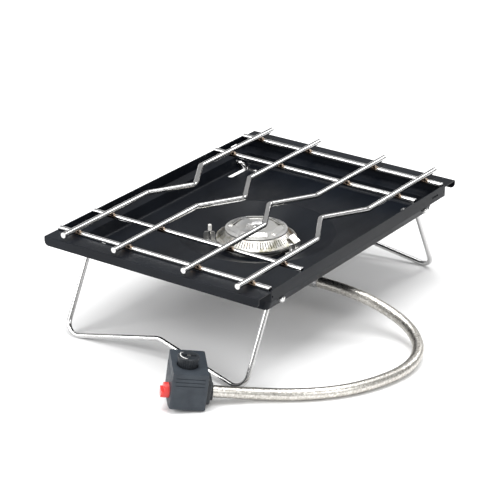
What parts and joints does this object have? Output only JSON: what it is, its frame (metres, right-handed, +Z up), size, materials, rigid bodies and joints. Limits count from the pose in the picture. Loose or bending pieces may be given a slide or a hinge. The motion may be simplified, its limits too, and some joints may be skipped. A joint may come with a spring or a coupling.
{
  "type": "canister stove",
  "caption": "Low canister stove: black pan with hanging flanges, lift-off rod grate, folding wire legs, ring burner, braided hose and canister valve with igniter.",
  "frame": {"origin": "on the ground under the centre of the burner", "axes": "+X across the pan towards the side that the gas pipe leaves by, +Y along the pan, away from the flange that the valve lies by, +Z up"},
  "size_m": [0.3419, 0.4312, 0.1109],
  "materials": {
    "black_coating": "satin black coating",
    "bright_wire": "polished stainless wire",
    "bright_fastener": "bright steel",
    "burner_steel": "satin stainless sheet",
    "cast_alloy": "as cast",
    "pipe_steel": "turned",
    "brass": "machined",
    "ceramic": "white glazed ceramic",
    "lead_sleeve": "matt black",
    "steel_braid": "woven stainless wire",
    "valve_plastic": "fine grain, blue-grey black",
    "knob_plastic": "fine grain black",
    "mark_white": "printed white",
    "button_red": "red, smooth"
  },
  "bodies": {
    "stove_body": {"air_shutter": "pipe_steel", "burner_baffle": "burner_steel", "burner_cap": "burner_steel", "burner_cap_screw": "bright_fastener", "burner_clip": "burner_steel", "burner_clip_screws": "bright_fastener", "burner_cup": "burner_steel", "burner_mounting_ring": "burner_steel", "burner_skirt": "burner_steel", "canister_seal": "lead_sleeve", "canister_socket": "brass", "electrode_bracket": "burner_steel", "electrode_ceramic": "ceramic", "electrode_nut": "bright_fastener", "electrode_pin": "bright_fastener", "electrode_stem": "bright_fastener", "gas_filter": "brass", "gas_jet": "brass", "hose": "steel_braid", "hose_ferrule": "pipe_steel", "hose_nut": "pipe_steel", "igniter_piezo": "knob_plastic", "ignition_lead": "lead_sleeve", "jet_holder": "brass", "leg_clip_rivets": "bright_fastener", "leg_clips": "bright_fastener", "mixing_elbow": "cast_alloy", "mounting_ring_screws": "bright_fastener", "pan": "black_coating", "pin_depressor": "brass", "spindle_gland_nut": "brass", "valve_block": "brass", "valve_hose_boss": "knob_plastic", "valve_housing_base": "valve_plastic", "valve_housing_screws": "bright_fastener", "valve_housing_top": "valve_plastic"},
    "near_leg_body": {"near_leg": "bright_wire", "near_leg_caps": "bright_fastener"},
    "far_leg_body": {"far_leg": "bright_wire", "far_leg_caps": "bright_fastener"},
    "grate_body": {"grate_crossbar_far_end": "bright_wire", "grate_crossbar_far_middle": "bright_wire", "grate_crossbar_near_end": "bright_wire", "grate_crossbar_near_middle": "bright_wire", "grate_rod_left_inner": "bright_wire", "grate_rod_left_outer": "bright_wire", "grate_rod_right_inner": "bright_wire", "grate_rod_right_outer": "bright_wire", "grate_welds": "bright_wire"},
    "knob_body": {"flame_knob": "knob_plastic", "flame_knob_mark": "mark_white", "flame_knob_screw": "bright_fastener", "valve_spindle": "brass", "valve_needle": "brass"},
    "button_body": {"igniter_button": "button_red", "igniter_plunger": "bright_fastener"}
  },
  "joints": [
    {"name": "near_leg_fold", "type": "hinge", "parent": "stove_body", "child": "near_leg_body", "pos_m": [0, -0.1315, 0.0825], "axis": [1, 0, 0], "range_deg": [0, 96.5]},
    {"name": "far_leg_fold", "type": "hinge", "parent": "stove_body", "child": "far_leg_body", "pos_m": [0, 0.1315, 0.0825], "axis": [-1, 0, 0], "range_deg": [0, 96.5]},
    {"name": "grate_lift", "type": "slide", "parent": "stove_body", "child": "grate_body", "axis": [0, 0, 1], "range_m": [0, 0.06]},
    {"name": "knob_turn", "type": "hinge", "parent": "stove_body", "child": "knob_body", "pos_m": [0.07698, -0.22365, 0.03833], "axis": [0.09, 0.0796, 0.9928], "range_deg": [0, 300]},
    {"name": "igniter_press", "type": "slide", "parent": "stove_body", "child": "button_body", "axis": [0.7435, 0.6578, -0.1201], "range_m": [0, 0.004], "stiffness_N_per_m": 1200, "springref_m": -0.003}
  ]
}
